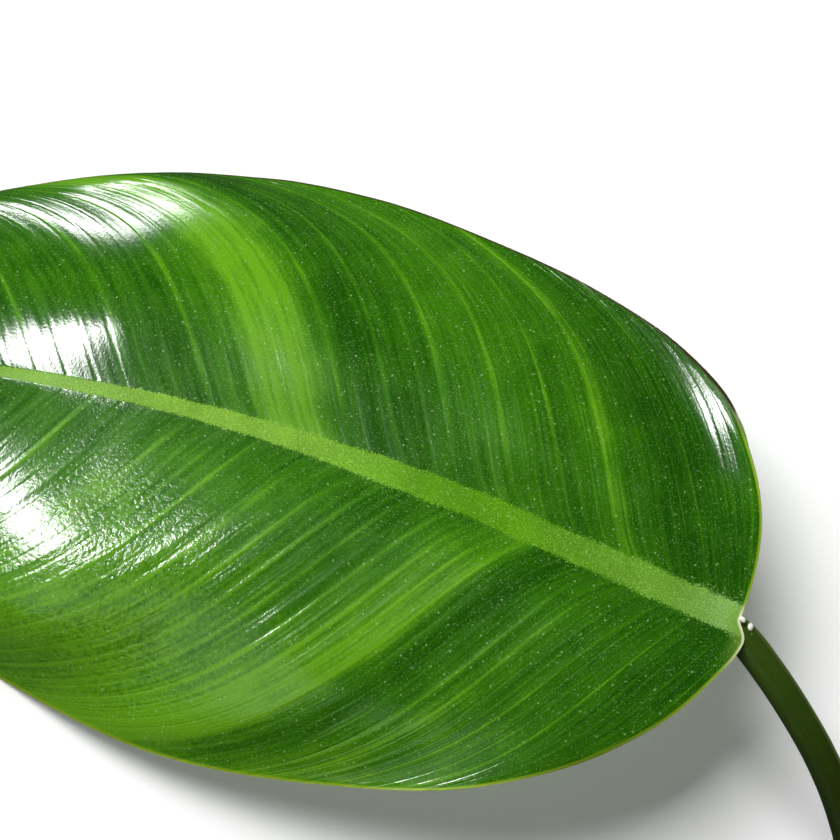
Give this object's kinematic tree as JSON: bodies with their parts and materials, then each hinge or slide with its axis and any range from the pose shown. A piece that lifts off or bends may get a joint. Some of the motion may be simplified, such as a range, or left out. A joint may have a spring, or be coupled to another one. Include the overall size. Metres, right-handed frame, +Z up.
{
  "type": "philodendron leaf",
  "caption": "Fresh picked philodendron leaf lying on a surface: an arched oblong blade with a broad midrib and pleated side veins, on a curved stalk with a cut end.",
  "frame": {"origin": "on the surface that the leaf lies on, under the middle of its footprint", "axes": "+Z up from the surface, -X towards the tip of the blade, +Y towards the far half of the blade"},
  "size_m": [0.3208, 0.1856, 0.0371],
  "materials": {
    "leaf_green": "waxy gloss",
    "stalk_olive": "smooth gloss"
  },
  "bodies": {
    "root": {"leaf_blade": "leaf_green", "petiole": "stalk_olive"}
  },
  "joints": []
}
